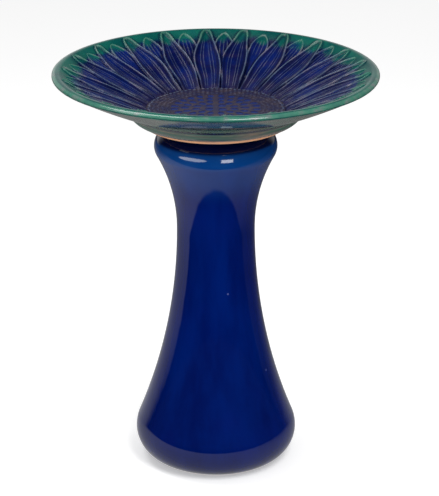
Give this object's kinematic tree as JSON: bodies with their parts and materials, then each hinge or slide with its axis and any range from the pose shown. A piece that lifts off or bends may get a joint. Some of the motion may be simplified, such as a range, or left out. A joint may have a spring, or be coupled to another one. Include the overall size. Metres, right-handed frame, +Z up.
{
  "type": "bird bath",
  "caption": "Shallow flared glazed ceramic bowl with sunflower petal relief, lifting off a hollow hourglass glazed pedestal.",
  "frame": {"origin": "on the ground, on the axis of the pedestal", "axes": "+Z up along the axis; +X and +Y level, and +Y away from a viewer who stands in front"},
  "size_m": [0.4572, 0.4572, 0.584],
  "materials": {
    "pedestal_glaze": "high gloss cobalt blue glaze",
    "soft_rubber": "matt soft rubber",
    "bowl_glaze": "gloss glaze, blue in the hollows, grey-green on the ridges and green on the rim"
  },
  "bodies": {
    "pedestal": {"pedestal": "pedestal_glaze"},
    "cushion_ring": {"cushion_ring": "soft_rubber"},
    "bowl": {"bowl": "bowl_glaze"}
  },
  "joints": [
    {"name": "bowl_turn", "type": "hinge", "parent": "pedestal", "child": "cushion_ring", "pos_m": [0, 0, 0.516], "axis": [0, 0, 1], "continuous": true},
    {"name": "bowl_lift", "type": "slide", "parent": "cushion_ring", "child": "bowl", "axis": [0, 0, 1], "range_m": [0, 0.15]}
  ]
}
